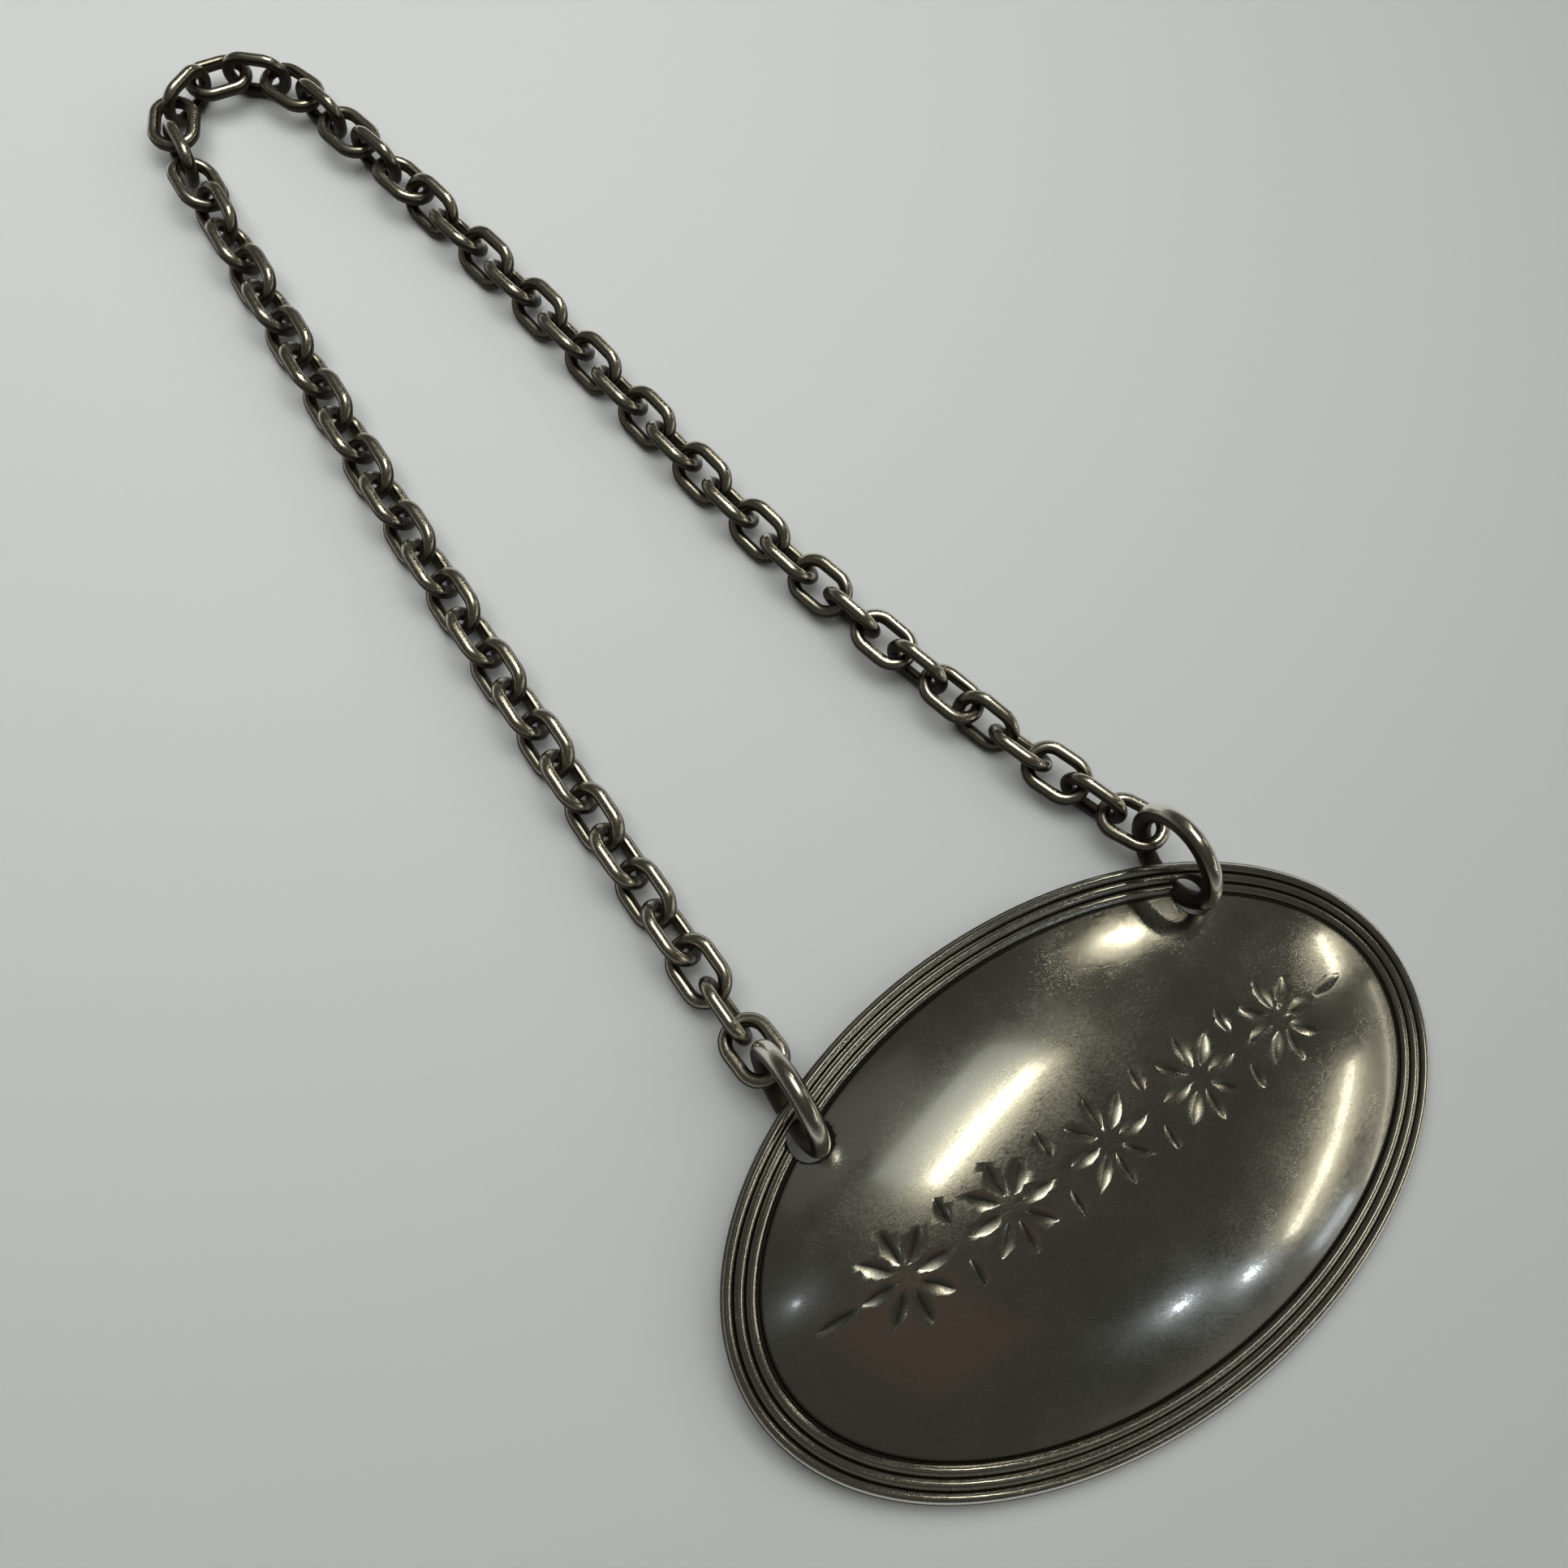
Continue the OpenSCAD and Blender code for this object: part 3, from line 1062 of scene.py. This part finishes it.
@dataclass(frozen=True)
class Lamp:
    """A soft rectangular lamp."""

    name: str
    direction: Triple  # from the plate towards the lamp
    along: Triple  # direction of the lamp's length
    size: Pair  # length and width
    brightness: float  # brightness of its face, against a white surface in full light
    colour: Triple
    mirrored: bool = True  # whether the silver mirrors it, or it only lights what is dull
    distance: float = 0.8  # from the plate
    wire_only: bool = False  # whether it lights the wire of the chain and rings alone
    level: bool = False  # whether it hangs level and shines straight down, and not towards the plate

    def build(self, aim: Vector, wire: bpy.types.Collection) -> None:
        """Puts the lamp into the scene.

        Args:
            aim: point that its place is measured from, and that it faces unless it hangs level
            wire: the pieces made of wire
        """
        data = bpy.data.lights.new(self.name, "AREA")
        data.shape = "RECTANGLE"
        data.size, data.size_y = self.size
        data.energy = self.brightness * math.pi * self.size[0] * self.size[1]
        data.color = self.colour
        obj = new_object(self.name, data)
        obj.visible_glossy = self.mirrored
        obj.visible_camera = False
        if self.wire_only:
            obj.light_linking.receiver_collection = wire
        back = Vector(self.direction).normalized()
        up = Vector((0.0, 0.0, 1.0)) if self.level else back
        x = Vector(self.along)
        x = (x - x.dot(up) * up).normalized()
        y = up.cross(x)
        turn = Matrix((x, y, up)).transposed().to_4x4()
        obj.matrix_world = Matrix.Translation(aim + back * self.distance) @ turn


WARM = (1.0, 0.94, 0.74)
SOFT_WARM = (1.0, 0.97, 0.88)
PALE = (0.94, 1.0, 0.90)
COOL = (0.80, 0.90, 1.0)
NEUTRAL = (1.0, 0.995, 0.98)
BROWN = (1.0, 0.36, 0.22)
PLATE_WAY = (1.0, 0.0, 0.0)
CHAIN_WAY = (0.0, 1.0, 0.0)
CEILING_WAY = (0.327, 0.148, -0.076)
LAMPS = (
    Lamp("right_fill", (0.72, -0.15, 0.68), CHAIN_WAY, (0.75, 0.75), 1.05, NEUTRAL, mirrored=False),
    Lamp("far_fill", (-0.06, 0.64, 0.765), PLATE_WAY, (0.14, 0.14), 2.5, NEUTRAL, mirrored=False,
         distance=0.166, level=True),
    Lamp("top_fill", (0.10, 0.15, 0.98), PLATE_WAY, (1.00, 1.00), 0.50, NEUTRAL, mirrored=False),
    Lamp("wire_key", (0.26, 0.26, 0.93), PLATE_WAY, (0.30, 0.30), 4.4, SOFT_WARM, wire_only=True),
    Lamp("ceiling_lamp", (0.160, 0.115, 0.980), CEILING_WAY, (0.27, 0.058), 4.2, WARM),
    Lamp("ceiling_glow", (0.11, 0.25, 0.96), CEILING_WAY, (0.34, 0.16), 0.42, PALE),
    Lamp("ceiling_haze", (-0.12, 0.50, 0.85), PLATE_WAY, (0.36, 0.28), 0.045, PALE),
    Lamp("side_lamp", (0.65, -0.60, 0.43), (-0.25, -0.33, -0.08), (0.36, 0.034), 3.7, WARM),
    Lamp("rim_lamp", (0.80, -0.50, 0.29), (-0.247, -0.538, -0.225), (0.50, 0.008), 2.8, WARM),
    Lamp("far_lamp", (0.60, 0.465, 0.65), (0.5, -0.6, 0.1), (0.07, 0.028), 18.0, WARM),
    Lamp("low_lamp", (0.87, -0.06, 0.48), (0.03, 0.18, -0.03), (0.14, 0.026), 5.0, WARM),
    Lamp("window_patch", (0.58, -0.78, 0.22), (0.8, 0.5, 0.0), (0.10, 0.04), 1.0, COOL),
    Lamp("spot_a", (0.29, -0.78, 0.56), PLATE_WAY, (0.012, 0.012), 45.0, COOL),
    Lamp("spot_b", (0.42, -0.80, 0.42), PLATE_WAY, (0.012, 0.012), 45.0, COOL),
    Lamp("spot_c", (-0.41, -0.01, 0.91), PLATE_WAY, (0.008, 0.008), 25.0, COOL),
    Lamp("brown_card", (-0.17, -0.42, 0.89), (0.25, -0.62, -0.24), (0.46, 0.24), 0.022, BROWN),
)


@dataclass(frozen=True)
class Studio:
    """The floor, the light and the photo's camera."""

    centre: Triple = (0.0, 14.0 * MM, 3.0 * MM)  # point that the lamps are placed from
    floor_half: float = 5.0  # half of the floor's side
    floor_colour: Triple = (0.60, 0.62, 0.62)
    floor_roughness: float = 0.62
    wall: Triple = (0.16, 0.155, 0.14)  # colour of the room at the floor's level
    wall_top: float = 0.36  # height at which the wall has faded into the ceiling, as a share of straight up
    ceiling: Triple = (0.031, 0.031, 0.026)  # colour of the room above
    target: Triple = (-3.41 * MM, 41.68 * MM, 0.0)  # point on the floor that the camera looks at
    view: Triple = (-51.67, 69.22, 21.22)  # azimuth, elevation and roll of the camera, in degrees
    camera_distance: float = 78.54 * MM  # from the camera to its target
    photo_focus: float = 1600.0  # focal length of the photo, in its own pixels
    photo_width: float = 1932.0  # width of the photo, in pixels
    sensor: float = 36.0  # width of the camera's sensor, in millimetres
    clip: Pair = (0.002, 20.0)  # nearest and furthest that the camera sees

    def floor(self) -> None:
        """Lays the plain pale surface that the label lies on."""
        h = self.floor_half
        corners = np.array([(-h, -h, 0.0), (h, -h, 0.0), (h, h, 0.0), (-h, h, 0.0)])
        mesh = mesh_from("floor", corners, [(0, 1, 2, 3)])
        mat = bpy.data.materials.new("pale_surface")
        mat.use_nodes = True
        shader = mat.node_tree.nodes["Principled BSDF"]
        shader.inputs["Base Color"].default_value = (*self.floor_colour, 1.0)
        shader.inputs["Roughness"].default_value = self.floor_roughness
        mesh.materials.append(mat)
        new_object("floor", mesh)

    def room(self) -> None:
        """Sets a dark room with a paler band round its walls, for the silver to mirror."""
        world = bpy.data.worlds.new("room")
        world.use_nodes = True
        tree = world.node_tree
        nodes, links = tree.nodes, tree.links
        parts = nodes.new("ShaderNodeSeparateXYZ")
        links.new(nodes.new("ShaderNodeTexCoord").outputs["Generated"], parts.inputs["Vector"])
        mix = nodes.new("ShaderNodeMix")
        mix.data_type = "RGBA"
        mix.inputs["A"].default_value = (*self.wall, 1.0)
        mix.inputs["B"].default_value = (*self.ceiling, 1.0)
        links.new(ramp(tree, parts.outputs["Z"], (0.0, self.wall_top), (0.0, 1.0)), mix.inputs["Factor"])
        links.new(mix.outputs["Result"], nodes["Background"].inputs["Color"])
        bpy.context.scene.world = world

    def lamps(self, wire: bpy.types.Collection) -> None:
        """Adds the lamps, those for wire alone linked to the wire's pieces."""
        for lamp in LAMPS:
            lamp.build(Vector(self.centre), wire)

    def camera(self) -> None:
        """Sets the camera at the photo's view."""
        azimuth, elevation, roll = (math.radians(angle) for angle in self.view)
        level = math.cos(elevation)
        forward = Vector((-math.sin(azimuth) * level, math.cos(azimuth) * level, -math.sin(elevation)))
        right = forward.cross(Vector((0.0, 0.0, 1.0))).normalized()
        up = right.cross(forward)
        x = math.cos(roll) * right + math.sin(roll) * up
        y = -math.sin(roll) * right + math.cos(roll) * up
        data = bpy.data.cameras.new("camera")
        data.sensor_fit = "HORIZONTAL"
        data.sensor_width = self.sensor
        data.lens = self.sensor * self.photo_focus / self.photo_width
        data.clip_start, data.clip_end = self.clip
        data.dof.use_dof = False
        obj = new_object("camera", data)
        turn = Matrix((x, y, -forward)).transposed().to_4x4()
        obj.matrix_world = Matrix.Translation(Vector(self.target) - forward * self.camera_distance) @ turn
        bpy.context.scene.camera = obj


def main() -> None:
    """Builds the pieces and the studio."""
    logging.basicConfig(level=logging.INFO, format="%(name)s: %(message)s")
    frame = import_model()
    bpy.context.scene.view_settings.view_transform = "Standard"

    wire = bpy.data.collections.new("wire")
    chain = Chain()
    found = chain.places(frame)
    for body, piece in chain.build(found, CHAIN_WIRE.build()).items():
        wire.objects.link(piece)
        hand_over(piece, body, sorted({place.node for place in found[body]}))

    links = [place for places in found.values() for place in places]
    ring_finish = RING_WIRE.build()
    for node in ("left_ring", "right_ring"):
        ring = JumpRing(node).build(links, ring_finish)
        wire.objects.link(ring)
        hand_over(ring, "rings", [node])

    hand_over(Plate().build(POLISHED.build()), "label", ["label_plate"])

    studio = Studio()
    studio.floor()
    studio.room()
    studio.lamps(wire)
    studio.camera()


if __name__ == "__main__":
    main()
